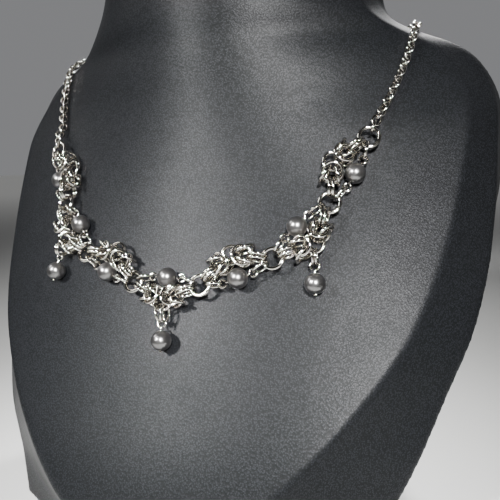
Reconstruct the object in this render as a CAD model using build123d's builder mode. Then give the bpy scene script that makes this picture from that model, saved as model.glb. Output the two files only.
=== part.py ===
from build123d import *
from collections import namedtuple
import math
import os

# A ring-weave necklace with pearls, lying on a neck bust. Millimetres, +Z up, the front faces -Y.

# Neck bust
bust_height = 180.0  # base to the flat top of the neck
bust_width = 181.0  # widest, across the flanks
bust_depth = 95.0  # flat back to the lower tip of the chest panel

back_corner = 4.0  # radius of the upright corners beside the flat back
bust_slices = 32  # sections that the bust's form is drawn through

# Sizes of the weave
weave_wire = 0.92  # wire of the small weave rings
ring_ratio = 5.15  # their inner diameter, in thicknesses of their wire
connector_wire = 1.15  # wire of the large rings between the units
connector_inner = 4.78
arc_angle = 25.0  # degrees that each half unit leans away from the straight line between its connectors
ring_gap = 0.2  # free space between wires that pass through one another
skin_gap = 0.4  # standing weave rings over the leather

# Pearls, their wires and the rings that hold them
pearl_diameter = 6.0
pearl_offset = 1.9  # pearl beside the straight line between two connectors
pearl_gap = 0.15  # a pearl over the leather
hole_gap = 0.2  # free space round the wire in a pearl's hole
eye_wire = 0.6
eye_inner = 1.7  # eyes beside the weave pearls
eye_neck = 0.35  # wire between an eye and its pearl
joining_wire = 0.8  # wire of the rings that join the eyes to the connectors
link_inset = 0.2  # middle of a link ring's wire, inside the middle of an eye
drop_length = 11.6  # middle of a centre ring to the middle of its drop
drop_neck = 0.45  # wire between the eye of a drop and its pearl
bail_wire = 0.7
centre_splay = 1.2  # half distance of the two bail rings on the middle unit's centre ring
side_splay = 0.45  # the same, on the other units
centre_sway = 6.5  # degrees that the middle drop hangs aside from straight down
side_sway = 1.5  # the same, outwards, for the other two
head_diameter = 1.2  # flat head under a drop's pearl
head_thickness = 0.3
head_gap = 0.1

# Neck chain and clasp
link_length = 4.0
link_width = 3.2
link_wire = 0.72
link_twist = 42.0  # degrees that the chain has turned about its own line
twist_links = 4  # links at each end in which it turns that far
chain_gap = 0.35  # chain over the leather
chain_slack = 0.3  # free space between neighbouring links on a straight stretch
chain_settle = 12.0  # length in which the chain comes down from the weave's height to its own
clasp_length = 9.0
clasp_diameter = 3.4
clasp_eye_inner = 1.8

# Horizontal sections of the bust. Heights are shares of bust_height, half widths are shares of half
# the bust_width and depths are shares of bust_depth, measured forward from the flat back.
Section = namedtuple(
    "Section",
    "height front_depth panel_width panel_depth edge_width edge_depth flank_width flank_depth back_width",
)
bust_sections = [
    Section(0.000, 0.979, 0.028, 0.979, 0.055, 0.973, 0.646, 0.726, 0.519),
    Section(0.039, 0.996, 0.044, 0.994, 0.088, 0.987, 0.680, 0.695, 0.564),
    Section(0.083, 0.964, 0.133, 0.960, 0.265, 0.943, 0.729, 0.653, 0.619),
    Section(0.156, 0.900, 0.221, 0.892, 0.446, 0.865, 0.799, 0.605, 0.707),
    Section(0.244, 0.813, 0.309, 0.799, 0.614, 0.754, 0.869, 0.518, 0.785),
    Section(0.356, 0.704, 0.387, 0.679, 0.771, 0.600, 0.952, 0.421, 0.904),
    Section(0.467, 0.601, 0.431, 0.567, 0.851, 0.461, 0.990, 0.316, 0.974),
    Section(0.578, 0.515, 0.453, 0.463, 0.893, 0.341, 1.000, 0.216, 1.016),
    Section(0.678, 0.472, 0.464, 0.389, 0.910, 0.236, 0.998, 0.137, 1.016),
    Section(0.750, 0.453, 0.464, 0.341, 0.878, 0.154, 0.960, 0.072, 0.974),
    Section(0.794, 0.446, 0.453, 0.321, 0.812, 0.123, 0.892, 0.060, 0.900),
    Section(0.822, 0.442, 0.431, 0.312, 0.735, 0.130, 0.807, 0.066, 0.807),
    Section(0.847, 0.439, 0.398, 0.318, 0.630, 0.168, 0.674, 0.089, 0.674),
    Section(0.878, 0.437, 0.376, 0.329, 0.562, 0.197, 0.604, 0.107, 0.614),
    Section(0.928, 0.433, 0.355, 0.324, 0.522, 0.181, 0.557, 0.094, 0.590),
    Section(1.000, 0.425, 0.337, 0.314, 0.492, 0.166, 0.527, 0.085, 0.570),
]

# Chosen points of the necklace, for the wearer's left half. The weave lies on the front, so its points
# have a width and a height only. The chain's points have a depth too. All are shares as above.
weave_route = [(0.0, 0.436), (0.126, 0.427), (0.352, 0.469), (0.506, 0.547), (0.614, 0.651), (0.66, 0.72)]
chain_route = [
    (0.637, 0.362, 0.682),
    (0.682, 0.285, 0.738),
    (0.715, 0.183, 0.806),
    (0.724, 0.088, 0.845),
    (0.715, 0.015, 0.850),
    (0.640, -0.012, 0.838),
    (0.420, -0.014, 0.822),
    (0.200, -0.014, 0.812),
]
clasp_height = 0.808
chain_seats = 30  # points of the chain's route that are laid on the leather

# One half unit, from a connector ring to the centre ring. Distances are shares of the weave rings'
# radius: along the half unit from its first pair, across it towards the outside of the arc, and out
# of the leather. Turn is about the outward line and tilt about the line across, in degrees.
WeaveRing = namedtuple("WeaveRing", "along across out turn tilt standing")
half_unit = [
    WeaveRing(0.000, 0.195, 0.000, 0.0, 0.0, True),
    WeaveRing(0.000, -0.195, 0.000, 0.0, 0.0, True),
    WeaveRing(1.474, -0.011, 0.594, 0.0, 24.1, False),
    WeaveRing(1.474, -0.011, -0.594, 0.0, -24.1, False),
    WeaveRing(1.366, 0.684, 0.000, 30.7, 0.0, True),
    WeaveRing(1.301, -0.520, 0.000, -11.5, 0.0, True),
]
centre_along = 2.822  # the centre ring, from the first pair
first_pair_gap = 0.207  # first pair to the connector's wire

weave_radius = weave_wire * (ring_ratio + 1) / 2
weave_lift = weave_radius + weave_wire / 2 + skin_gap
connector_radius = (connector_inner + connector_wire) / 2
eye_radius = (eye_inner + eye_wire) / 2
bail_spread = (bail_wire + ring_gap) / 2
drop_eye_radius = bail_spread + bail_wire / 2 + ring_gap + eye_wire / 2
bail_rise = bail_wire / 3  # the bail rings' wire, above the middle of a drop's eye
chain_lift = (link_width - link_wire) / 2 * math.cos(math.radians(link_twist)) + link_wire / 2 + chain_gap
first_pair = connector_radius - (connector_wire + weave_wire) / 2 - first_pair_gap + weave_radius
half_length = first_pair + centre_along * weave_radius
unit_pitch = 2 * half_length * math.cos(math.radians(arc_angle))
arc_offset = half_length * math.sin(math.radians(arc_angle))


def bust_point(width, depth, height, side=1):
    """Turn shares of the bust's sizes into a point."""
    return Vector(side * width * bust_width / 2, -depth * bust_depth, height * bust_height)


def steady(heights, values, height):
    """Read a value between the rows of a table on a smooth curve that never swings past the rows."""
    steps = [(b - a) / (q - p) for p, q, a, b in zip(heights, heights[1:], values, values[1:])]
    bends = [2 * s * t / (s + t) if s * t > 0 else 0.0 for s, t in zip(steps, steps[1:])]
    slopes = [steps[0], *bends, steps[-1]]
    row = max(index for index in range(len(steps)) if heights[index] <= height)
    span = heights[row + 1] - heights[row]
    share = (height - heights[row]) / span
    rise = slopes[row] * (share - 2 * share**2 + share**3) - slopes[row + 1] * (share**2 - share**3)
    return values[row] + (values[row + 1] - values[row]) * (3 * share**2 - 2 * share**3) + rise * span


def bust_section(height):
    """Find the bust's section at any height."""
    heights = [section.height for section in bust_sections]
    return Section(*(steady(heights, values, height) for values in zip(*bust_sections)))


def section_outline(section):
    """Draw one closed horizontal section of the bust."""
    front = bust_point(0, section.front_depth, 0)
    panel = [bust_point(section.panel_width, section.panel_depth, 0, side) for side in (-1, 1)]
    edge = [bust_point(section.edge_width, section.edge_depth, 0, side) for side in (-1, 1)]
    flank = [bust_point(section.flank_width, section.flank_depth, 0, side) for side in (-1, 1)]
    back = [bust_point(section.back_width, 0, 0, side) for side in (-1, 1)]
    with BuildLine() as outline:
        Spline(edge[0], panel[0], front, panel[1], edge[1])
        for side in (0, 1):
            inwards = Vector(back_corner if side == 0 else -back_corner, 0, 0)
            forwards = Vector(0, -back_corner, 0)
            turn = back[side] + (inwards + forwards) * (1 - math.sqrt(0.5))
            Polyline(edge[side], flank[side], back[side] + forwards)
            ThreePointArc(back[side] + forwards, turn, back[side] + inwards)
        Line(back[0] + Vector(back_corner, 0, 0), back[1] - Vector(back_corner, 0, 0))
    make_face(outline.edges())


with BuildPart() as bust:
    for index in range(bust_slices):
        height = index / (bust_slices - 1)
        with BuildSketch(Plane.XY.offset(height * bust_height)):
            section_outline(bust_section(height))
    loft()
bust.part.label = "bust"


def seat(point, lift):
    """Move a point near the bust to a height over its skin. Returns the point and the outward direction."""
    _, on_skin, _ = bust.part.distance_to_with_closest_points(Vertex(*point))
    outward = (point - on_skin).normalized()
    return on_skin + outward * lift, outward


def front_point(width, height, lift, side):
    """Find the point over the bust's front at a width and a height."""
    start = Axis((side * width * bust_width / 2, -2 * bust_depth, height * bust_height), (0, 1, 0))
    hits = [hit for hit, _ in bust.part.find_intersection_points(start)]
    first = min(hits, key=lambda hit: hit.Y)
    return seat(first - Vector(0, lift, 0), lift)[0]


def across(direction, outward):
    """Make a direction square to another one."""
    return (outward - direction * outward.dot(direction)).normalized()


def ring(centre, axis, radius, wire):
    """Add a closed round ring of wire."""
    with Locations(Plane(origin=centre, z_dir=axis)):
        Torus(radius, wire / 2)


def rod(start, end, diameter):
    """Add a straight round rod between two points."""
    with Locations(Plane(origin=start, z_dir=end - start)):
        Cylinder(diameter / 2, (end - start).length, align=(Align.CENTER, Align.CENTER, Align.MIN))


def ring_through(start, end, outward, wire):
    """Add a ring that stands on the leather and whose wire passes through two points."""
    along = (end - start).normalized()
    ring((start + end) / 2, along.cross(across(along, outward)), (end - start).length / 2, wire)


# The route of the weave, and the connector rings that it is walked in equal steps to
right_points = [front_point(width, height, weave_lift, 1) for width, height in weave_route]
left_points = [front_point(width, height, weave_lift, -1) for width, height in weave_route[1:]]
weave_line = Spline(*reversed(left_points), *right_points)


def walk(start, first, last, distance):
    """Find the share of the weave's route that lies at a straight distance from a point."""
    for _ in range(30):
        middle = (first + last) / 2
        if (weave_line @ middle - start).length < distance:
            first = middle
        else:
            last = middle
    return (first + last) / 2


stations = []
for end in (0.0, 1.0):
    shares = [walk(weave_line @ 0.5, 0.5, end, unit_pitch / 2)]
    for _ in range(3):
        shares.append(walk(weave_line @ shares[-1], shares[-1], end, unit_pitch))
    stations.append([weave_line @ share for share in shares])
connectors = list(reversed(stations[0])) + stations[1]

Unit = namedtuple("Unit", "left right middle along outward down arc centre pearl has_drop")
units = []
for index in range(7):
    left, right = connectors[index], connectors[index + 1]
    middle = (left + right) / 2
    along = (right - left).normalized()
    outward = across(along, seat(middle, weave_lift)[1])
    arc = 1 if index in (1, 3, 5) else -1
    down = along.cross(outward)
    centre = middle + down * arc * arc_offset
    pearl = seat(middle - down * arc * pearl_offset, pearl_diameter / 2 + pearl_gap)[0]
    units.append(Unit(left, right, middle, along, outward, down, arc, centre, pearl, index in (1, 3, 5)))

parts = [bust.part]

for number, unit in enumerate(units, 1):
    with BuildPart() as weave:
        for connector in (unit.left, unit.right):
            towards = (unit.centre - connector).normalized()
            side = across(towards, unit.down * unit.arc)
            for piece in half_unit:
                place = (
                    connector
                    + towards * (first_pair + piece.along * weave_radius)
                    + side * piece.across * weave_radius
                    + unit.outward * piece.out * weave_radius
                )
                turn, tilt = math.radians(piece.turn), math.radians(piece.tilt)
                if piece.standing:
                    axis = towards * math.sin(turn) + side * math.cos(turn)
                else:
                    axis = unit.outward * math.cos(tilt) - towards * math.sin(tilt)
                ring(place, axis, weave_radius, weave_wire)
    weave.part.label = f"weave_{number}"
    parts.append(weave.part)

    with BuildPart() as centre_ring:
        ring(unit.centre, unit.outward, weave_radius, weave_wire)
    centre_ring.part.label = f"centre_ring_{number}"
    parts.append(centre_ring.part)

for number, connector in enumerate(connectors, 1):
    beside = [unit.outward for unit in units[max(number - 2, 0):number]]
    with BuildPart() as connector_ring:
        ring(connector, sum(beside, Vector(0, 0, 0)), connector_radius, connector_wire)
    connector_ring.part.label = f"connector_ring_{number}"
    parts.append(connector_ring.part)


def drilled_pearl(centre, axis):
    """Add a pearl with a hole along its wire."""
    with Locations(Plane(origin=centre, z_dir=axis)):
        Sphere(pearl_diameter / 2)
        Cylinder(eye_wire / 2 + hole_gap, 2 * pearl_diameter, mode=Mode.SUBTRACT)


eye_reach = pearl_diameter / 2 + eye_neck + eye_radius + eye_wire / 2
link_reach = connector_radius - (connector_wire + joining_wire) / 2 - ring_gap
for number, unit in enumerate(units, 1):
    eyes = [unit.pearl - unit.along * eye_reach, unit.pearl + unit.along * eye_reach]
    with BuildPart() as pearl:
        drilled_pearl(unit.pearl, unit.along)
    pearl.part.label = f"pearl_{number}"
    parts.append(pearl.part)

    with BuildPart() as pearl_wire:
        rod(eyes[0] + unit.along * eye_radius, eyes[1] - unit.along * eye_radius, eye_wire)
        for eye in eyes:
            ring(eye, unit.outward, eye_radius, eye_wire)
    pearl_wire.part.label = f"pearl_wire_{number}"
    parts.append(pearl_wire.part)

    with BuildPart() as link_rings:
        for connector, eye, way in ((unit.left, eyes[0], 1), (unit.right, eyes[1], -1)):
            lean = math.radians(arc_angle)
            aim = unit.along * way * math.cos(lean) - unit.down * unit.arc * math.sin(lean)
            inner = eye - unit.along * way * link_inset
            ring_through(connector + aim * link_reach, inner, unit.outward, joining_wire)
    link_rings.part.label = f"link_rings_{number}"
    parts.append(link_rings.part)

drop_eye_reach = pearl_diameter / 2 + drop_neck + drop_eye_radius + eye_wire / 2
bail_reach = weave_radius - (weave_wire + bail_wire) / 2 - ring_gap
for number, unit in enumerate([unit for unit in units if unit.has_drop], 1):
    splay = centre_splay if number == 2 else side_splay
    skin = seat(unit.centre, weave_lift)[1]
    sway = math.radians([-side_sway, centre_sway, side_sway][number - 1])
    hang = across(skin, Vector(math.sin(sway), 0, -math.cos(sway)))
    drop = seat(unit.centre + hang * drop_length, pearl_diameter / 2 + pearl_gap)[0]
    hang = (drop - unit.centre).normalized()
    face = across(hang, unit.outward)
    aside = hang.cross(face)
    eye = drop - hang * drop_eye_reach

    with BuildPart() as drop_pearl:
        drilled_pearl(drop, hang)
    drop_pearl.part.label = f"drop_pearl_{number}"
    parts.append(drop_pearl.part)

    with BuildPart() as drop_wire:
        below = drop + hang * (pearl_diameter / 2 + head_gap)
        rod(eye + hang * drop_eye_radius, below + hang * head_thickness, eye_wire)
        rod(below, below + hang * head_thickness, head_diameter)
        ring(eye, face, drop_eye_radius, eye_wire)
    drop_wire.part.label = f"drop_wire_{number}"
    parts.append(drop_wire.part)

    with BuildPart() as bail_rings:
        for way in (-1, 1):
            top = unit.centre + hang * math.sqrt(bail_reach**2 - splay**2) + aside * way * splay
            bottom = eye - hang * bail_rise + aside * way * bail_spread
            ring_through(top, bottom, face, bail_wire)
    bail_rings.part.label = f"bail_rings_{number}"
    parts.append(bail_rings.part)


end_radius = (link_width - link_wire) / 2
end_centre = (link_length - link_width) / 2
with BuildPart() as link:
    with BuildLine() as link_line:
        Line((-end_centre, end_radius), (end_centre, end_radius))
        ThreePointArc((end_centre, end_radius), (end_centre + end_radius, 0), (end_centre, -end_radius))
        Line((end_centre, -end_radius), (-end_centre, -end_radius))
        ThreePointArc((-end_centre, -end_radius), (-end_centre - end_radius, 0), (-end_centre, end_radius))
    with BuildSketch(Plane(origin=link_line.line @ 0, z_dir=link_line.line % 0)):
        Circle(link_wire / 2)
    sweep(path=link_line.line)


def chain_link(centre, along, outward, standing, twist):
    """Add one oval link, lying on the leather or standing on it, turned about the chain's own line."""
    up = across(along, outward)
    aside = along.cross(up)
    twist = math.radians(twist)
    face = (aside if standing else up) * math.cos(twist) + (up * -1 if standing else aside) * math.sin(twist)
    with Locations(Plane(origin=centre, x_dir=along, z_dir=face)):
        add(link.part)


clasp_eye_radius = (clasp_eye_inner + link_wire) / 2
clasp_centre = Vector(0, clasp_diameter / 2 + chain_gap, clasp_height * bust_height)
first_link = connector_radius - (connector_wire + link_wire) / 2 - ring_gap + (link_length - link_wire) / 2
last_link = clasp_length / 2 + 2 * clasp_eye_radius - link_wire - ring_gap + (link_length - link_wire) / 2
link_pitch = link_length - 2 * link_wire - chain_slack
for name, side in (("chain_left", -1), ("chain_right", 1)):
    start, ring_axis = (connectors[0], units[0].outward) if side < 0 else (connectors[-1], units[-1].outward)
    chosen = [bust_point(*point, side) for point in chain_route]
    chosen = [point for point in chosen if point.Y > start.Y or point.Z > start.Z + link_length]
    rough = Spline(start, *chosen, clasp_centre + Vector(side * last_link, 0, 0))
    leave = across(ring_axis, rough @ (1 / chain_seats) - start)
    seated = [start + leave * first_link, start + leave * (first_link + link_pitch)]
    for index in range(3, chain_seats):
        point = rough @ (index / chain_seats)
        settled = min((point - start).length / chain_settle, 1)
        seated.append(seat(point, weave_lift + (chain_lift - weave_lift) * settled)[0])
    line = Spline(start, *seated, clasp_centre + Vector(side * last_link, 0, 0))
    count = math.ceil((line.length - first_link) / link_pitch / 2) * 2 + 1
    with BuildPart() as chain:
        for index in range(count):
            share = (first_link + (line.length - first_link) * index / (count - 1)) / line.length
            centre, along = line @ share, line % share
            outward = ring_axis if index == 0 else seat(centre, chain_lift)[1]
            turned = min(index, count - 1 - index, twist_links) / twist_links
            chain_link(centre, along, outward, index % 2 == 0, side * link_twist * turned)
    chain.part.label = name
    parts.append(chain.part)

with BuildPart() as clasp:
    rod(clasp_centre - Vector(clasp_length / 2, 0, 0), clasp_centre + Vector(clasp_length / 2, 0, 0), clasp_diameter)
    fillet(clasp.edges(), clasp_diameter / 4)
    for side in (-1, 1):
        eye = clasp_centre + Vector(side * (clasp_length / 2 + clasp_eye_radius), 0, 0)
        ring(eye, (0, 1, 0), clasp_eye_radius, link_wire)
clasp.part.label = "clasp"
parts.append(clasp.part)

# Every piece moves back together so that the origin is under the middle of the whole
whole = Compound(children=[part.moved(Location()) for part in parts]).bounding_box()
shift = Location((0, -(whole.min.Y + whole.max.Y) / 2, 0))
os.makedirs("parts", exist_ok=True)
for part in parts:
    placed = part.moved(shift)
    placed.label = part.label
    export_step(placed, f"parts/{part.label}.step")
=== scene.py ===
"""Dress a chainmaille pearl necklace and the neck bust that it lies on."""

import logging
import math
import random
from dataclasses import dataclass
from enum import Enum

import bmesh
import bpy
import numpy as np
from mathutils import Matrix, Vector


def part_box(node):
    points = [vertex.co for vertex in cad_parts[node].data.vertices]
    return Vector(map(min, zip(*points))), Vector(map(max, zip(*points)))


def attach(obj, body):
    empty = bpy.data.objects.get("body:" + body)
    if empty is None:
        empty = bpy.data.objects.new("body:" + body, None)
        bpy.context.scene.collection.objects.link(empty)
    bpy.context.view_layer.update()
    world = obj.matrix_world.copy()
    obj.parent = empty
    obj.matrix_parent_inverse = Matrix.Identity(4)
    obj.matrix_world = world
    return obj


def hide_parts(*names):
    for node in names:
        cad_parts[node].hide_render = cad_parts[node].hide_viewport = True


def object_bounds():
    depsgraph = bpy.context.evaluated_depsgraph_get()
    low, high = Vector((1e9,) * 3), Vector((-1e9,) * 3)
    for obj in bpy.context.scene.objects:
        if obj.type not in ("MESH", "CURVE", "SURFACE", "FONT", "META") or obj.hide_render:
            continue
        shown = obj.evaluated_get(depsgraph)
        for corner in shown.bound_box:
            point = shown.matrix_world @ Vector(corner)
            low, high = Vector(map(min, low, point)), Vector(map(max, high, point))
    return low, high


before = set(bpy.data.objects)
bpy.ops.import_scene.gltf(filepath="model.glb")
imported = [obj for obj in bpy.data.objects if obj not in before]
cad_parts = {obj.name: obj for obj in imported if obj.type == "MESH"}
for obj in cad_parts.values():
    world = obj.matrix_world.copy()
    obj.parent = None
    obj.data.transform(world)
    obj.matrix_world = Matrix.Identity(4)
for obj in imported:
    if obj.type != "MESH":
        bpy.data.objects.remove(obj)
CAD_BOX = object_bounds()

MM = 0.001
WELD_MM = 0.002  # corners of a solid that lie nearer than this are one corner
NOISE_RANGE = (0.3, 0.7)  # most of a noise's values lie between these
RING_NODES = ("weave_", "centre_ring_", "connector_ring_", "link_rings_", "bail_rings_")
WIRE_NODES = ("pearl_wire_", "drop_wire_")
log = logging.getLogger("necklace")


# Colour and node helpers


def linear(code: str) -> tuple[float, float, float, float]:
    """Turn an sRGB hex value into a linear colour.

    Args:
        code: six hex digits.

    Returns:
        Red, green, blue and a full alpha.
    """
    shares = [int(code[start:start + 2], 16) / 255 for start in (0, 2, 4)]
    toe, toe_slope, offset, gain, power = 0.04045, 12.92, 0.055, 1.055, 2.4
    values = [share / toe_slope if share <= toe else ((share + offset) / gain) ** power for share in shares]
    return (values[0], values[1], values[2], 1.0)


def add_node(
    tree: bpy.types.NodeTree, kind: str, settings: dict | None = None, inputs: dict | None = None
) -> bpy.types.Node:
    """Add a node with its settings and its inputs.

    Args:
        tree: the material's node tree.
        kind: Blender's name of the node type.
        settings: attributes set on the node.
        inputs: socket name or number to a value, or to the socket that feeds it.

    Returns:
        The new node.
    """
    node = tree.nodes.new(kind)
    for name, value in (settings or {}).items():
        setattr(node, name, value)
    for name, value in (inputs or {}).items():
        if isinstance(value, bpy.types.NodeSocket):
            tree.links.new(value, node.inputs[name])
        else:
            node.inputs[name].default_value = value
    return node


def new_material(name: str) -> tuple[bpy.types.Material, bpy.types.NodeTree, bpy.types.Node]:
    """Start a material that has only a surface shader.

    Args:
        name: the material's name.

    Returns:
        The material, its node tree and its shader.
    """
    material = bpy.data.materials.new(name)
    material.use_nodes = True
    tree = material.node_tree
    tree.nodes.clear()
    shader = add_node(tree, "ShaderNodeBsdfPrincipled")
    add_node(tree, "ShaderNodeOutputMaterial", inputs={"Surface": shader.outputs["BSDF"]})
    return material, tree, shader


def object_place(tree: bpy.types.NodeTree) -> bpy.types.NodeSocket:
    """Add the object's own coordinates."""
    return add_node(tree, "ShaderNodeTexCoord").outputs["Object"]


def noise(
    tree: bpy.types.NodeTree, place: bpy.types.NodeSocket, size_mm: float, detail: float
) -> bpy.types.NodeSocket:
    """Add a noise.

    Args:
        tree: the material's node tree.
        place: the coordinates that it is drawn in.
        size_mm: the size of its patches.
        detail: how many finer layers it has.

    Returns:
        The socket with its value.
    """
    node = add_node(
        tree, "ShaderNodeTexNoise", inputs={"Vector": place, "Scale": 1 / (size_mm * MM), "Detail": detail}
    )
    return node.outputs["Fac"]


def remap(
    tree: bpy.types.NodeTree,
    value: bpy.types.NodeSocket,
    source: tuple[float, float],
    result: tuple[float, float],
    easing: str = "LINEAR",
) -> bpy.types.NodeSocket:
    """Bring a value from one range to another.

    Args:
        tree: the material's or the world's node tree.
        value: the socket with the value.
        source: the range that it comes from.
        result: the range that it goes to.
        easing: Blender's name of the curve between the ends.

    Returns:
        The socket with the result.
    """
    node = add_node(
        tree, "ShaderNodeMapRange", settings={"interpolation_type": easing},
        inputs={
            "Value": value, "From Min": source[0], "From Max": source[1],
            "To Min": result[0], "To Max": result[1],
        },
    )
    return node.outputs["Result"]


def blend_colours(
    tree: bpy.types.NodeTree, factor: bpy.types.NodeSocket, reach: tuple[float, float], codes: tuple[str, str]
) -> bpy.types.NodeSocket:
    """Blend from one colour to another.

    Args:
        tree: the material's node tree.
        factor: the socket that picks the place between them.
        reach: its values at the first and at the second colour.
        codes: the two colours in hex.

    Returns:
        The socket with the colour.
    """
    ramp = add_node(tree, "ShaderNodeValToRGB", inputs={"Fac": factor})
    for element, place, code in zip(ramp.color_ramp.elements, reach, codes):
        element.position = place
        element.color = linear(code)
    return ramp.outputs["Color"]


# Finishes


@dataclass(frozen=True)
class PolishedSteelWire:
    """Drawn stainless wire, tumbled bright: mirror-like, with faint dull patches that soften the glints."""

    name: str = "tumbled_stainless_wire"
    bright: str = "F4F0E8"
    dull: str = "DAD5CA"
    bright_roughness: float = 0.04
    dull_roughness: float = 0.1
    patch_mm: float = 2.5
    grit_mm: float = 0.15
    relief_mm: float = 0.003
    relief_strength: float = 0.25

    def build(self) -> bpy.types.Material:
        """Make the material.

        Returns:
            The material.
        """
        material, tree, shader = new_material(self.name)
        place = object_place(tree)
        patch = noise(tree, place, self.patch_mm, detail=3.0)
        grit = noise(tree, place, self.grit_mm, detail=2.0)
        colour = blend_colours(tree, patch, NOISE_RANGE, (self.dull, self.bright))
        rough = remap(tree, patch, NOISE_RANGE, (self.dull_roughness, self.bright_roughness))
        bump = add_node(
            tree, "ShaderNodeBump",
            inputs={"Height": grit, "Strength": self.relief_strength, "Distance": self.relief_mm * MM},
        )
        tree.links.new(colour, shader.inputs["Base Color"])
        tree.links.new(rough, shader.inputs["Roughness"])
        tree.links.new(bump.outputs["Normal"], shader.inputs["Normal"])
        shader.inputs["Metallic"].default_value = 1.0
        return material


@dataclass(frozen=True)
class DarkCrystalPearl:
    """Crystal bead with a dark pearl lacquer: a grey, slightly metallic body under a satin clear coat."""

    name: str = "dark_grey_pearl_lacquer"
    deep: str = "636261"
    light: str = "7B7978"
    cloud_mm: float = 3.0
    metallic: float = 0.95
    roughness: float = 0.28
    coat_roughness: float = 0.17
    coat_ior: float = 1.8

    def build(self) -> bpy.types.Material:
        """Make the material.

        Returns:
            The material.
        """
        material, tree, shader = new_material(self.name)
        cloud = noise(tree, object_place(tree), self.cloud_mm, detail=4.0)
        colour = blend_colours(tree, cloud, NOISE_RANGE, (self.deep, self.light))
        tree.links.new(colour, shader.inputs["Base Color"])
        shader.inputs["Metallic"].default_value = self.metallic
        shader.inputs["Roughness"].default_value = self.roughness
        shader.inputs["Coat Weight"].default_value = 1.0
        shader.inputs["Coat Roughness"].default_value = self.coat_roughness
        shader.inputs["Coat IOR"].default_value = self.coat_ior
        return material


@dataclass(frozen=True)
class PebbledLeatherette:
    """Charcoal polyurethane leatherette, embossed: fine pebbles that catch the light, with a satin sheen.

    The colour and the shine run from the middle of a pebble to the crease round it; the crease's darker
    colour is painted shade. The two reaches say where, in shares of a pebble.
    """

    name: str = "charcoal_pebbled_leatherette"
    # painted shade: the darker colour of the creases between pebbles
    painted_shade_crease: str = "0D0E0F"
    pebble: str = "17181B"
    colour_reach: tuple[float, float] = (0.1, 0.6)
    pebble_shine: float = 0.135
    crease_shine: float = 0.075
    shine_reach: tuple[float, float] = (0.15, 0.6)
    pebble_mm: float = 0.5
    grit_mm: float = 0.3
    grit_share: float = 0.3
    depth_mm: float = 0.034
    depth_strength: float = 0.8
    swell_mm: float = 14.0
    swell_roughness: tuple[float, float] = (0.45, 0.41)

    def build(self) -> bpy.types.Material:
        """Make the material.

        Returns:
            The material.
        """
        material, tree, shader = new_material(self.name)
        place = object_place(tree)
        cells = add_node(
            tree, "ShaderNodeTexVoronoi", settings={"feature": "F1"},
            inputs={"Vector": place, "Scale": 1 / (self.pebble_mm * MM)},
        ).outputs["Distance"]
        grit = noise(tree, place, self.grit_mm, detail=1.0)
        swell = noise(tree, place, self.swell_mm, detail=2.0)
        # painted shade: the colour darkens from each pebble's middle to the crease round it
        colour = blend_colours(tree, cells, self.colour_reach, (self.pebble, self.painted_shade_crease))
        rough = remap(tree, swell, NOISE_RANGE, self.swell_roughness)
        shine = remap(tree, cells, self.shine_reach, (self.pebble_shine, self.crease_shine))
        height = add_node(
            tree, "ShaderNodeMath", settings={"operation": "MULTIPLY_ADD"},
            inputs={0: grit, 1: self.grit_share, 2: cells},
        )
        bump = add_node(
            tree, "ShaderNodeBump", settings={"invert": True},
            inputs={
                "Height": height.outputs["Value"], "Strength": self.depth_strength,
                "Distance": self.depth_mm * MM,
            },
        )
        tree.links.new(colour, shader.inputs["Base Color"])
        tree.links.new(rough, shader.inputs["Roughness"])
        tree.links.new(bump.outputs["Normal"], shader.inputs["Normal"])
        tree.links.new(shine, shader.inputs["Specular IOR Level"])
        return material


@dataclass(frozen=True)
class StudioPaper:
    """Pale matt paper that the bust stands on. Its far end glows, so that it meets the pale surround."""

    name: str = "pale_studio_paper"
    colour: str = "BEBEBC"
    roughness: float = 0.85
    glow: tuple[float, float] = (0.0, 0.3)
    glow_reach_m: tuple[float, float] = (0.1, 1.4)

    def build(self) -> bpy.types.Material:
        """Make the material.

        Returns:
            The material.
        """
        material, tree, shader = new_material(self.name)
        apart = add_node(tree, "ShaderNodeSeparateXYZ", inputs={"Vector": object_place(tree)})
        glow = remap(tree, apart.outputs["Y"], self.glow_reach_m, self.glow, "SMOOTHSTEP")
        shader.inputs["Base Color"].default_value = linear(self.colour)
        shader.inputs["Roughness"].default_value = self.roughness
        shader.inputs["Emission Color"].default_value = linear(self.colour)
        tree.links.new(glow, shader.inputs["Emission Strength"])
        return material


# Reading the frame and building meshes


class Outline(Enum):
    """The shape that one closed piece of wire is bent to."""

    ROUND = "round"
    OVAL = "oval"


@dataclass
class WireLoop:
    """One closed loop of wire, as read from a node of the frame.

    Attributes:
        centre: middle of the loop.
        longways: unit vector along its longer side.
        sideways: unit vector across it, in its plane.
        half_length: middle to the wire's centre line, along longways.
        half_width: the same, along sideways.
        wire: thickness of the wire.
    """

    centre: Vector
    longways: Vector
    sideways: Vector
    half_length: float
    half_width: float
    wire: float


def loose_solids(node: str) -> list[np.ndarray]:
    """Split a node of the frame into its separate solids.

    Args:
        node: the node's name.

    Returns:
        One array of points for each solid.
    """
    form = bmesh.new()
    form.from_mesh(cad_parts[node].data)
    bmesh.ops.remove_doubles(form, verts=form.verts, dist=WELD_MM * MM)
    solids, seen = [], set()
    for start in form.verts:
        if start.index in seen:
            continue
        seen.add(start.index)
        queue, points = [start], []
        while queue:
            corner = queue.pop()
            points.append(tuple(corner.co))
            for edge in corner.link_edges:
                other = edge.other_vert(corner)
                if other.index not in seen:
                    seen.add(other.index)
                    queue.append(other)
        solids.append(np.array(points))
    form.free()
    return solids


def main_axes(points: np.ndarray) -> tuple[np.ndarray, np.ndarray, np.ndarray]:
    """Find the box that fits a solid whichever way it is turned.

    Args:
        points: the solid's corners.

    Returns:
        The middle, three unit vectors from the longest way to the shortest, and half the size along each.
    """
    mean = points.mean(0)
    _, _, ways = np.linalg.svd(points - mean, full_matrices=False)
    spread = (points - mean) @ ways.T
    low, high = spread.min(0), spread.max(0)
    return mean + ways.T @ ((low + high) / 2), ways, (high - low) / 2


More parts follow.
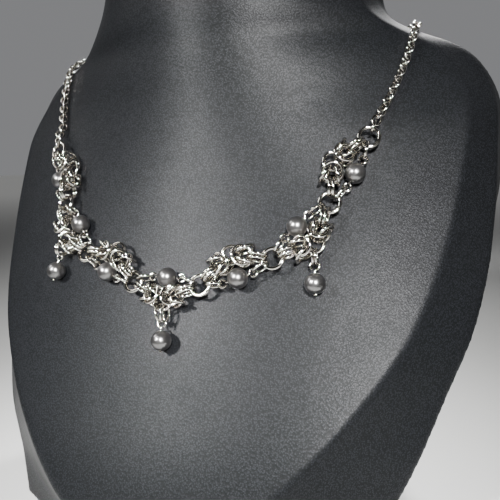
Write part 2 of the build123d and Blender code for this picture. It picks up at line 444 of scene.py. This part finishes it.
def read_loops(node: str) -> list[WireLoop]:
    """Read every closed loop of wire in a node.

    Args:
        node: the node's name.

    Returns:
        Its loops.
    """
    loops = []
    for points in loose_solids(node):
        centre, ways, half = main_axes(points)
        wire = 2 * half[2]
        longways, sideways = Vector(ways[0]), Vector(ways[1])
        half_length, half_width = half[0] - wire / 2, half[1] - wire / 2
        loops.append(WireLoop(Vector(centre), longways, sideways, half_length, half_width, wire))
    return loops


def box_middle(node: str) -> Vector:
    """Find the middle of a node's box."""
    low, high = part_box(node)
    return (Vector(low) + Vector(high)) / 2


def mesh_object(name: str, corners: list, faces: list, material: bpy.types.Material) -> bpy.types.Object:
    """Make a smooth-shaded object.

    Args:
        name: the object's name.
        corners: its points.
        faces: its faces, as numbers of points.
        material: its finish.

    Returns:
        The new object, linked to the scene.
    """
    mesh = bpy.data.meshes.new(name)
    mesh.from_pydata([tuple(corner) for corner in corners], [], faces)
    mesh.polygons.foreach_set("use_smooth", [True] * len(mesh.polygons))
    mesh.materials.append(material)
    mesh.update()
    thing = bpy.data.objects.new(name, mesh)
    bpy.context.scene.collection.objects.link(thing)
    return thing


@dataclass
class TubeMaker:
    """Collects swept wires in one mesh.

    Attributes:
        sides: sides of the wire's round section.
        seam_clear: half width that a seam keeps free of other points, in half widths of its groove.
        seam_steps: where the seam's own points lie, in the same measure.
        seam_floor: half width of the groove's thin part, in the same measure.
        seam_wire: the wire's thickness in the groove, as a share.
    """

    sides: int = 12
    seam_clear: float = 2.5
    seam_steps: tuple[float, ...] = (-1.0, -0.4, 0.4, 1.0)
    seam_floor: float = 0.6
    seam_wire: float = 0.86

    def __post_init__(self) -> None:
        """Start with an empty mesh."""
        self.corners: list[Vector] = []
        self.faces: list[tuple[int, ...]] = []

    def sweep(self, path: list[Vector], radii: list[float], normal: Vector, closed: bool) -> None:
        """Add a round wire along a path.

        Args:
            path: middle of the wire, point by point.
            radii: the wire's radius at each point.
            normal: a direction that is never along the path.
            closed: whether the last point joins the first.
        """
        count, first = len(path), len(self.corners)
        for index, point in enumerate(path):
            ahead = path[(index + 1) % count] if closed or index < count - 1 else point
            behind = path[index - 1] if closed or index > 0 else point
            way = (ahead - behind).normalized()
            out = way.cross(normal).normalized()
            up = out.cross(way)
            for side in range(self.sides):
                angle = math.tau * side / self.sides
                self.corners.append(point + (out * math.cos(angle) + up * math.sin(angle)) * radii[index])
        for index in range(count if closed else count - 1):
            here, there = first + index * self.sides, first + (index + 1) % count * self.sides
            for side in range(self.sides):
                after = (side + 1) % self.sides
                self.faces.append((here + side, there + side, there + after, here + after))
        if not closed:
            self.faces.append(tuple(first + side for side in range(self.sides)))
            last = first + (count - 1) * self.sides
            self.faces.append(tuple(last + side for side in reversed(range(self.sides))))

    def loop(
        self,
        wire_loop: WireLoop,
        outline: Outline,
        steps: int,
        seam_at: float | None = None,
        seam_mm: float = 0.0,
    ) -> None:
        """Add a closed loop, with a shallow groove where the ends of the wire meet.

        Args:
            wire_loop: the loop's place and sizes.
            outline: round or oval.
            steps: points round the loop.
            seam_at: angle of the joint in the wire, or None for no joint.
            seam_mm: width of the groove.
        """
        radius = min(wire_loop.half_length, wire_loop.half_width)
        reach = wire_loop.half_length - radius if outline is Outline.OVAL else 0.0
        half_seam = seam_mm * MM / radius / 2
        angles = [math.tau * step / steps for step in range(steps)]
        if seam_at is not None:
            angles = [angle for angle in angles if abs(angle - seam_at) > self.seam_clear * half_seam]
            angles += [seam_at + share * half_seam for share in self.seam_steps]
            angles.sort()
        path, radii = [], []
        for angle in angles:
            ahead, aside = math.cos(angle), math.sin(angle)
            if outline is Outline.OVAL:
                on_axis = abs(ahead) < 1e-6
                along = 0.0 if on_axis else ahead * radius + math.copysign(reach, ahead)
                across = aside * radius
            else:
                along, across = ahead * wire_loop.half_length, aside * wire_loop.half_width
            path.append(wire_loop.centre + wire_loop.longways * along + wire_loop.sideways * across)
            grooved = seam_at is not None and abs(angle - seam_at) < self.seam_floor * half_seam
            radii.append(wire_loop.wire / 2 * (self.seam_wire if grooved else 1.0))
        self.sweep(path, radii, wire_loop.longways.cross(wire_loop.sideways), True)

    def finish(self, name: str, material: bpy.types.Material) -> bpy.types.Object:
        """Turn what was collected into an object."""
        return mesh_object(name, self.corners, self.faces, material)


# Sub-assemblies


@dataclass
class RingWeave:
    """Jump rings of one weave, one smooth ring for each ring of the frame, with their closing seams.

    Attributes:
        steel: the rings' finish.
        steps: points round a ring.
        sides: sides of the wire's section.
        seam_mm: width of the groove where a ring's ends meet.
        seam_range: least and most angle of a seam.
        seed: start of the draws that turn each ring's seam somewhere else.
    """

    steel: bpy.types.Material
    steps: int = 44
    sides: int = 14
    seam_mm: float = 0.07
    seam_range: tuple[float, float] = (0.3, 5.9)
    seed: int = 4

    def __post_init__(self) -> None:
        """Start the draws."""
        self.draws = random.Random(self.seed)

    def build(self, node: str) -> bpy.types.Object:
        """Build the rings of one node.

        Args:
            node: the frame's node that they replace.

        Returns:
            The new object.
        """
        maker = TubeMaker(self.sides)
        for wire_loop in read_loops(node):
            seam_at = self.draws.uniform(*self.seam_range)
            maker.loop(wire_loop, Outline.ROUND, self.steps, seam_at, self.seam_mm)
        rings = maker.finish(f"{node}_rings", self.steel)
        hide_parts(node)
        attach(rings, "root")
        return rings


@dataclass
class NeckChain:
    """Oval cable chain.

    Attributes:
        steel: the links' finish.
        steps: points round a link.
        sides: sides of the wire's section.
    """

    steel: bpy.types.Material
    steps: int = 40
    sides: int = 12

    def build(self, node: str) -> bpy.types.Object:
        """Build the links of one side of the chain.

        Args:
            node: the frame's node that they replace.

        Returns:
            The new object.
        """
        maker = TubeMaker(self.sides)
        for wire_loop in read_loops(node):
            maker.loop(wire_loop, Outline.OVAL, self.steps)
        links = maker.finish(f"{node}_links", self.steel)
        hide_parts(node)
        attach(links, "root")
        return links


@dataclass
class PearlOnWire:
    """One drilled bead and the wire through it, which is turned to an eye at one end or both.

    Attributes:
        lacquer: the bead's finish.
        steel: the wire's finish.
        wire_mm: thickness of the wire.
        hole_mm: width of the bead's hole.
        lip_mm: size of the rounding at the hole's mouths.
        lip_shape: points of that rounding: out from the hole and in from the mouth, in lips.
        bend_mm: radius of the bend between the wire and its eye.
        head_mm: width of the flat head under a drop's bead.
        head_shape: the head's outline: millimetres beyond the bead, and half widths in any unit.
        outside: a wire's corners that belong to an eye lie farther out than this, in bead radii.
        least_eye: an end of the wire is an eye if it is wider than this, in heads.
        run_up: points of the wire between the bead's middle and the bend, as shares.
        eye_gap: free space between an eye's end and its neck, in wires.
        bend_steps: steps round the bend.
        eye_steps: steps round the eye.
        around: points round the bead.
        rows: rows of points from one mouth of the bead to the other.
        sides: sides of the wire's section.
    """

    lacquer: bpy.types.Material
    steel: bpy.types.Material
    wire_mm: float = 0.6
    hole_mm: float = 1.0
    lip_mm: float = 0.14
    lip_shape: tuple[tuple[float, float], ...] = ((0.12, 0.45), (0.5, 0.1))
    bend_mm: float = 0.3
    head_mm: float = 1.2
    head_shape: tuple[tuple[float, float], ...] = (
        (0.12, 0.3), (0.14, 0.55), (0.2, 0.6), (0.34, 0.58), (0.4, 0.42), (0.42, 0.1),
    )
    outside: float = 1.08
    least_eye: float = 0.6
    run_up: tuple[float, ...] = (0.0, 0.3, 0.6, 0.8, 0.95)
    eye_gap: float = 0.9
    bend_steps: int = 5
    eye_steps: int = 34
    around: int = 56
    rows: int = 34
    sides: int = 14

    def build(self, bead: str, wire: str) -> list[bpy.types.Object]:
        """Build a bead and its wire.

        Args:
            bead: the frame's node of the bead.
            wire: the frame's node of the wire.

        Returns:
            The new bead and the new wire.
        """
        low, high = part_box(bead)
        middle, radius = box_middle(bead), max(Vector(high) - Vector(low)) / 2
        points = loose_solids(wire)[0]
        far_out = np.linalg.norm(points - np.array(middle), axis=1) > self.outside * radius
        eyes = self.read_eyes(points[far_out], middle)
        axis = (eyes[0][0] - middle).normalized()
        pieces = [self.turn_bead(bead, middle, radius, axis), self.bend_wire(wire, middle, radius, eyes)]
        for piece, node, slot in zip(pieces, (bead, wire), ("pearl", "steel")):
            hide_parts(node)
            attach(piece, "root")
        return pieces

    def read_eyes(self, points: np.ndarray, middle: Vector) -> list[tuple[Vector, Vector, float]]:
        """Find the eyes of a wire.

        Args:
            points: the wire's corners beyond the bead.
            middle: the bead's middle.

        Returns:
            The middle, the direction square to its plane and the radius of each eye.
        """
        _, ways, _ = main_axes(points)
        along = (points - np.array(middle)) @ ways[0]
        eyes = []
        for end in (points[along > 0], points[along < 0]):
            centre, axes, half = main_axes(end)
            if half[1] > self.head_mm * MM * self.least_eye:
                eyes.append((Vector(centre), Vector(axes[2]), half[1] - self.wire_mm * MM / 2))
        return eyes

    def turn_bead(self, name: str, middle: Vector, radius: float, axis: Vector) -> bpy.types.Object:
        """Turn the bead about the axis of its hole, with rounded mouths.

        Args:
            name: the bead's node.
            middle: its middle.
            radius: its radius.
            axis: the direction of its hole.

        Returns:
            The bead.
        """
        hole, lip = self.hole_mm * MM / 2, self.lip_mm * MM
        start = math.asin((hole + lip) / radius)
        mouth = radius * math.cos(start)
        profile = [(hole, lip - mouth), (hole, mouth - lip)]
        profile += [(hole + lip * out, mouth - lip * deep) for out, deep in self.lip_shape]
        for row in range(self.rows + 1):
            angle = start + (math.pi - 2 * start) * row / self.rows
            profile.append((radius * math.sin(angle), radius * math.cos(angle)))
        profile += [(hole + lip * out, lip * deep - mouth) for out, deep in reversed(self.lip_shape)]
        turn = axis.to_track_quat("Z", "Y").to_matrix()
        corners, faces = [], []
        for across, height in profile:
            for step in range(self.around):
                spin = math.tau * step / self.around
                upright = Vector((across * math.cos(spin), across * math.sin(spin), height))
                corners.append(middle + turn @ upright)
        for row in range(len(profile)):
            here, below = row * self.around, (row + 1) % len(profile) * self.around
            for step in range(self.around):
                after = (step + 1) % self.around
                faces.append((here + step, below + step, below + after, here + after))
        return mesh_object(f"{name}_bead", corners, faces, self.lacquer)

    def eye_path(self, reach: float, eye: float) -> list[tuple[float, float]]:
        """Draw the wire from the bead's middle round one eye.

        Args:
            reach: the bead's middle to the eye's middle.
            eye: the eye's radius, at the middle of the wire.

        Returns:
            Points along and across the wire's own line.
        """
        bend = self.bend_mm * MM
        start = reach - math.sqrt((eye + bend) ** 2 - bend**2)
        lean = math.asin(bend / (eye + bend))
        path = [(start * share, 0.0) for share in self.run_up]
        for step in range(self.bend_steps + 1):
            angle = (math.pi / 2 - lean) * step / self.bend_steps
            path.append((start + bend * math.sin(angle), bend * (1 - math.cos(angle))))
        first, turn = math.pi - lean, math.tau - 2 * lean - self.eye_gap * self.wire_mm * MM / eye
        for step in range(1, self.eye_steps + 1):
            angle = first - turn * step / self.eye_steps
            path.append((reach + eye * math.cos(angle), eye * math.sin(angle)))
        return path

    def bend_wire(self, name: str, middle: Vector, radius: float, eyes: list) -> bpy.types.Object:
        """Bend the wire with its eyes, or with one eye and a flat head under the bead.

        Args:
            name: the wire's node.
            middle: the bead's middle.
            radius: the bead's radius.
            eyes: the eyes that were read.

        Returns:
            The wire.
        """
        path = []
        for number, (centre, normal, eye) in enumerate(eyes):
            along = (centre - middle).normalized()
            across = normal.cross(along).normalized()
            drawn = self.eye_path((centre - middle).length, eye)
            run = [middle + along * far + across * aside for far, aside in drawn]
            path = run if number == 0 else list(reversed(run[1:])) + path
        radii = [self.wire_mm * MM / 2] * len(path)
        if len(eyes) == 1:
            down, head = (middle - eyes[0][0]).normalized(), self.head_mm * MM / 2
            widest = max(wide for _, wide in self.head_shape)
            tail = [(radius + far * MM, wide / widest * head) for far, wide in reversed(self.head_shape)]
            path = [middle + down * far for far, _ in tail] + path
            radii = [wide for _, wide in tail] + radii
        maker = TubeMaker(self.sides)
        maker.sweep(path, radii, eyes[0][1], False)
        return maker.finish(f"{name}_bent", self.steel)


@dataclass
class BarrelClasp:
    """Turned screw clasp: two halves that meet at a fine line, with a collar and a fixed eye at each end.

    Attributes:
        steel: its finish.
        length_mm: length of the barrel.
        across_mm: width of the barrel.
        half_shape: outline from one end to the middle, in half lengths and half widths.
        least_width: least half width of the outline, in half widths, so that its ends stay open to sweep.
        end_step_mm: how far the two end points are pushed out, so that no two points lie in one place.
        eye_mm: radius of an eye, at the middle of its wire.
        wire_mm: thickness of an eye's wire.
        eye_steps: points round an eye.
        sides: sides of the barrel's section.
    """

    steel: bpy.types.Material
    length_mm: float = 9.0
    across_mm: float = 3.4
    half_shape: tuple[tuple[float, float], ...] = (
        (1.0, 0.0), (1.0, 0.5), (0.985, 0.62), (0.95, 0.68), (0.91, 0.7), (0.88, 0.66), (0.86, 0.66),
        (0.84, 0.8), (0.8, 0.9), (0.72, 0.97), (0.6, 1.0), (0.3, 1.0), (0.03, 1.0), (0.02, 0.98), (0.0, 0.93),
    )
    least_width: float = 0.02
    end_step_mm: float = 0.001
    eye_mm: float = 1.26
    wire_mm: float = 0.72
    eye_steps: int = 40
    sides: int = 40

    def build(self) -> bpy.types.Object:
        """Build the clasp in place of the frame's.

        Returns:
            The clasp.
        """
        middle = box_middle("clasp")
        half, broad = self.length_mm * MM / 2, self.across_mm * MM / 2
        outline = [(-far, wide) for far, wide in self.half_shape]
        outline += [(far, wide) for far, wide in reversed(self.half_shape[:-1])]
        path = [middle + Vector((far * half, 0, 0)) for far, _ in outline]
        for index in (0, len(path) - 1):
            outwards = math.copysign(self.end_step_mm * MM, path[index].x - middle.x)
            path[index] = path[index] + Vector((outwards, 0, 0))
        radii = [max(wide, self.least_width) * broad for _, wide in outline]
        maker = TubeMaker(self.sides)
        maker.sweep(path, radii, Vector((0, 0, 1)), False)
        for side in (-1, 1):
            eye = self.eye_mm * MM
            centre = middle + Vector((side * (half + eye), 0, 0))
            wire_loop = WireLoop(centre, Vector((1, 0, 0)), Vector((0, 0, 1)), eye, eye, self.wire_mm * MM)
            maker.loop(wire_loop, Outline.ROUND, self.eye_steps)
        barrel = maker.finish("clasp_turned", self.steel)
        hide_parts("clasp")
        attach(barrel, "root")
        return barrel


@dataclass
class NeckBust:
    """Chest, shoulders and neck, covered in one skin of leatherette with softly rounded folds.

    Attributes:
        leatherette: its finish.
        voxel_mm: size of the even mesh's faces.
        settling: rounds of smoothing that take the steps out of the even mesh.
        smoothing: rounds that round the folds, after the skin is laid on the form again.
    """

    leatherette: bpy.types.Material
    voxel_mm: float = 1.1
    settling: int = 10
    smoothing: int = 4

    def build(self) -> bpy.types.Object:
        """Build the skin over the bust of the frame.

        Returns:
            The skin.
        """
        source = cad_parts["bust"]
        skin = source.copy()
        skin.data = source.data.copy()
        skin.name = "bust_skin"
        skin.parent = None
        for key in list(skin.keys()):
            del skin[key]
        bpy.context.scene.collection.objects.link(skin)
        skin.data.materials.clear()
        skin.data.materials.append(self.leatherette)
        remesh = skin.modifiers.new("even_mesh", "REMESH")
        remesh.mode = "VOXEL"
        remesh.voxel_size = self.voxel_mm * MM
        remesh.use_smooth_shade = True
        skin.modifiers.new("even_steps", "SMOOTH").iterations = self.settling
        skin.modifiers.new("lie_on_form", "SHRINKWRAP").target = source
        skin.modifiers.new("soft_folds", "SMOOTH").iterations = self.smoothing
        self.bake(skin)
        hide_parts("bust")
        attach(skin, "root")
        return skin

    def bake(self, skin: bpy.types.Object) -> None:
        """Apply the modifiers, so that the mesh holds the shape.

        Args:
            skin: the object.
        """
        view = bpy.context.evaluated_depsgraph_get()
        mesh = bpy.data.meshes.new_from_object(skin.evaluated_get(view))
        skin.modifiers.clear()
        skin.data = mesh


@dataclass(frozen=True)
class Softbox:
    """A round area light.

    Attributes:
        name: its name.
        bearing: degrees from straight in front of the bust, towards the wearer's left if above zero.
        height: degrees above its target.
        distance_m: distance to its target.
        size_m: its width.
        power_w: its power.
        spread: degrees that its light spreads.
    """

    name: str
    bearing: float
    height: float
    distance_m: float
    size_m: float
    power_w: float
    spread: float

    def hang(self, target: Vector) -> None:
        """Hang the light so that it points at its target.

        Args:
            target: the place that it lights.
        """
        turn, rise = math.radians(self.bearing), math.radians(self.height)
        way = Vector((math.sin(turn) * math.cos(rise), -math.cos(turn) * math.cos(rise), math.sin(rise)))
        light = bpy.data.lights.new(self.name, "AREA")
        light.shape = "DISK"
        light.size = self.size_m
        light.energy = self.power_w
        light.spread = math.radians(self.spread)
        lamp = bpy.data.objects.new(self.name, light)
        lamp.location = target + way * self.distance_m
        lamp.rotation_mode = "QUATERNION"
        lamp.rotation_quaternion = way.to_track_quat("Z", "Y")
        bpy.context.scene.collection.objects.link(lamp)


@dataclass
class Studio:
    """Camera at the photo's angle, soft lights and the pale floor.

    Attributes:
        eye_mm: from the middle pearl, as the photo shows it, to the camera.
        pearl_mm: that pearl's place. Its depth is measured from the back of the whole. The photo's view was
            worked out from the bust's back, 3.7 mm in front of that, so the camera is that much too near.
        azimuth: degrees that the camera is turned from straight on, from the wearer's left.
        elevation: degrees that it looks down.
        roll: degrees that it is turned about its own line.
        focal_px: its focal length in the photo's pixels.
        frame_px: the photo's width.
        sensor_mm: width of the sensor.
        near_clip_m: nearest distance that it sees.
        floor_m: half the floor's width.
        surround: colour of the surround.
        surround_levels: its brightness in front of the bust and behind it.
        surround_reach: between which it changes, as the share of the direction towards the bust's back.
        target_m: the place that the lights point at.
        lights: the lights.
    """

    eye_mm: tuple[float, float, float] = (86.28, -150.55, 37.37)
    pearl_mm: tuple[float, float, float] = (0.0, -62.0, 78.0)
    azimuth: float = 22.16
    elevation: float = 10.0
    roll: float = -2.42
    focal_px: float = 574.8
    frame_px: float = 500.0
    sensor_mm: float = 36.0
    near_clip_m: float = 0.01
    floor_m: float = 3.0
    surround: str = "D2D3D6"
    surround_levels: tuple[float, float] = (0.03, 0.34)
    surround_reach: tuple[float, float] = (-0.2, 0.7)
    target_m: tuple[float, float, float] = (0.02, -0.03, 0.072)
    lights: tuple[Softbox, ...] = (
        Softbox("key_softbox", -31.0, 31.0, 0.75, 0.1, 0.64, 33.0),
        Softbox("second_softbox", 26.0, 28.0, 0.75, 0.095, 1.04, 33.0),
        Softbox("side_softbox", -78.0, 38.0, 0.8, 0.35, 0.16, 60.0),
        Softbox("back_softbox", 180.0, 45.0, 0.75, 0.2, 0.5, 22.0),
    )

    def build(self) -> None:
        """Set the camera, the floor, the surround and the lights."""
        self.place_camera()
        self.place_floor()
        self.place_surround()
        for light in self.lights:
            light.hang(Vector(self.target_m))

    def place_camera(self) -> None:
        """Put the camera where the photo was taken from."""
        camera = bpy.data.cameras.new("photo_camera")
        camera.sensor_width = self.sensor_mm
        camera.lens = self.focal_px / self.frame_px * self.sensor_mm
        camera.clip_start = self.near_clip_m
        holder = bpy.data.objects.new("photo_camera", camera)
        turn, dip = math.radians(self.azimuth), math.radians(self.elevation)
        ahead = Vector((-math.sin(turn) * math.cos(dip), math.cos(turn) * math.cos(dip), -math.sin(dip)))
        back_y = CAD_BOX[1][1]
        eye = (Vector(self.eye_mm) + Vector(self.pearl_mm)) * MM + Vector((0, back_y, 0))
        aim = (-ahead).to_track_quat("Z", "Y").to_matrix().to_4x4()
        holder.matrix_world = Matrix.Translation(eye) @ aim @ Matrix.Rotation(math.radians(self.roll), 4, "Z")
        bpy.context.scene.collection.objects.link(holder)
        bpy.context.scene.camera = holder

    def place_floor(self) -> None:
        """Lay the paper that the bust stands on."""
        ways = ((-1, -1), (1, -1), (1, 1), (-1, 1))
        corners = [Vector((x * self.floor_m, y * self.floor_m, 0)) for x, y in ways]
        floor = mesh_object("studio_floor", corners, [(0, 1, 2, 3)], StudioPaper().build())

    def place_surround(self) -> None:
        """Make a surround that is pale behind the bust and dim in front of it."""
        world = bpy.data.worlds.new("studio_surround")
        world.use_nodes = True
        tree = world.node_tree
        surround = tree.nodes["Background"]
        surround.inputs["Color"].default_value = linear(self.surround)
        direction = add_node(tree, "ShaderNodeTexCoord").outputs["Generated"]
        apart = add_node(tree, "ShaderNodeSeparateXYZ", inputs={"Vector": direction})
        level = remap(tree, apart.outputs["Y"], self.surround_reach, self.surround_levels, "SMOOTHSTEP")
        tree.links.new(level, surround.inputs["Strength"])
        bpy.context.scene.world = world


def main() -> None:
    """Build every piece in order."""
    logging.basicConfig(level=logging.INFO)
    steel = PolishedSteelWire().build()
    lacquer = DarkCrystalPearl().build()
    leatherette = PebbledLeatherette().build()
    Studio().build()
    log.info("built %s", NeckBust(leatherette).build().name)
    weave, chain, beads = RingWeave(steel), NeckChain(steel), PearlOnWire(lacquer, steel)
    for node in sorted(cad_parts):
        if node.startswith(RING_NODES):
            log.info("built %s", weave.build(node).name)
        elif node.startswith("chain_"):
            log.info("built %s", chain.build(node).name)
        elif node.startswith(WIRE_NODES):
            bead = node.replace("_wire", "" if node.startswith("pearl") else "_pearl")
            for piece in beads.build(bead, node):
                log.info("built %s", piece.name)
    log.info("built %s", BarrelClasp(steel).build().name)


if __name__ == "__main__":
    main()
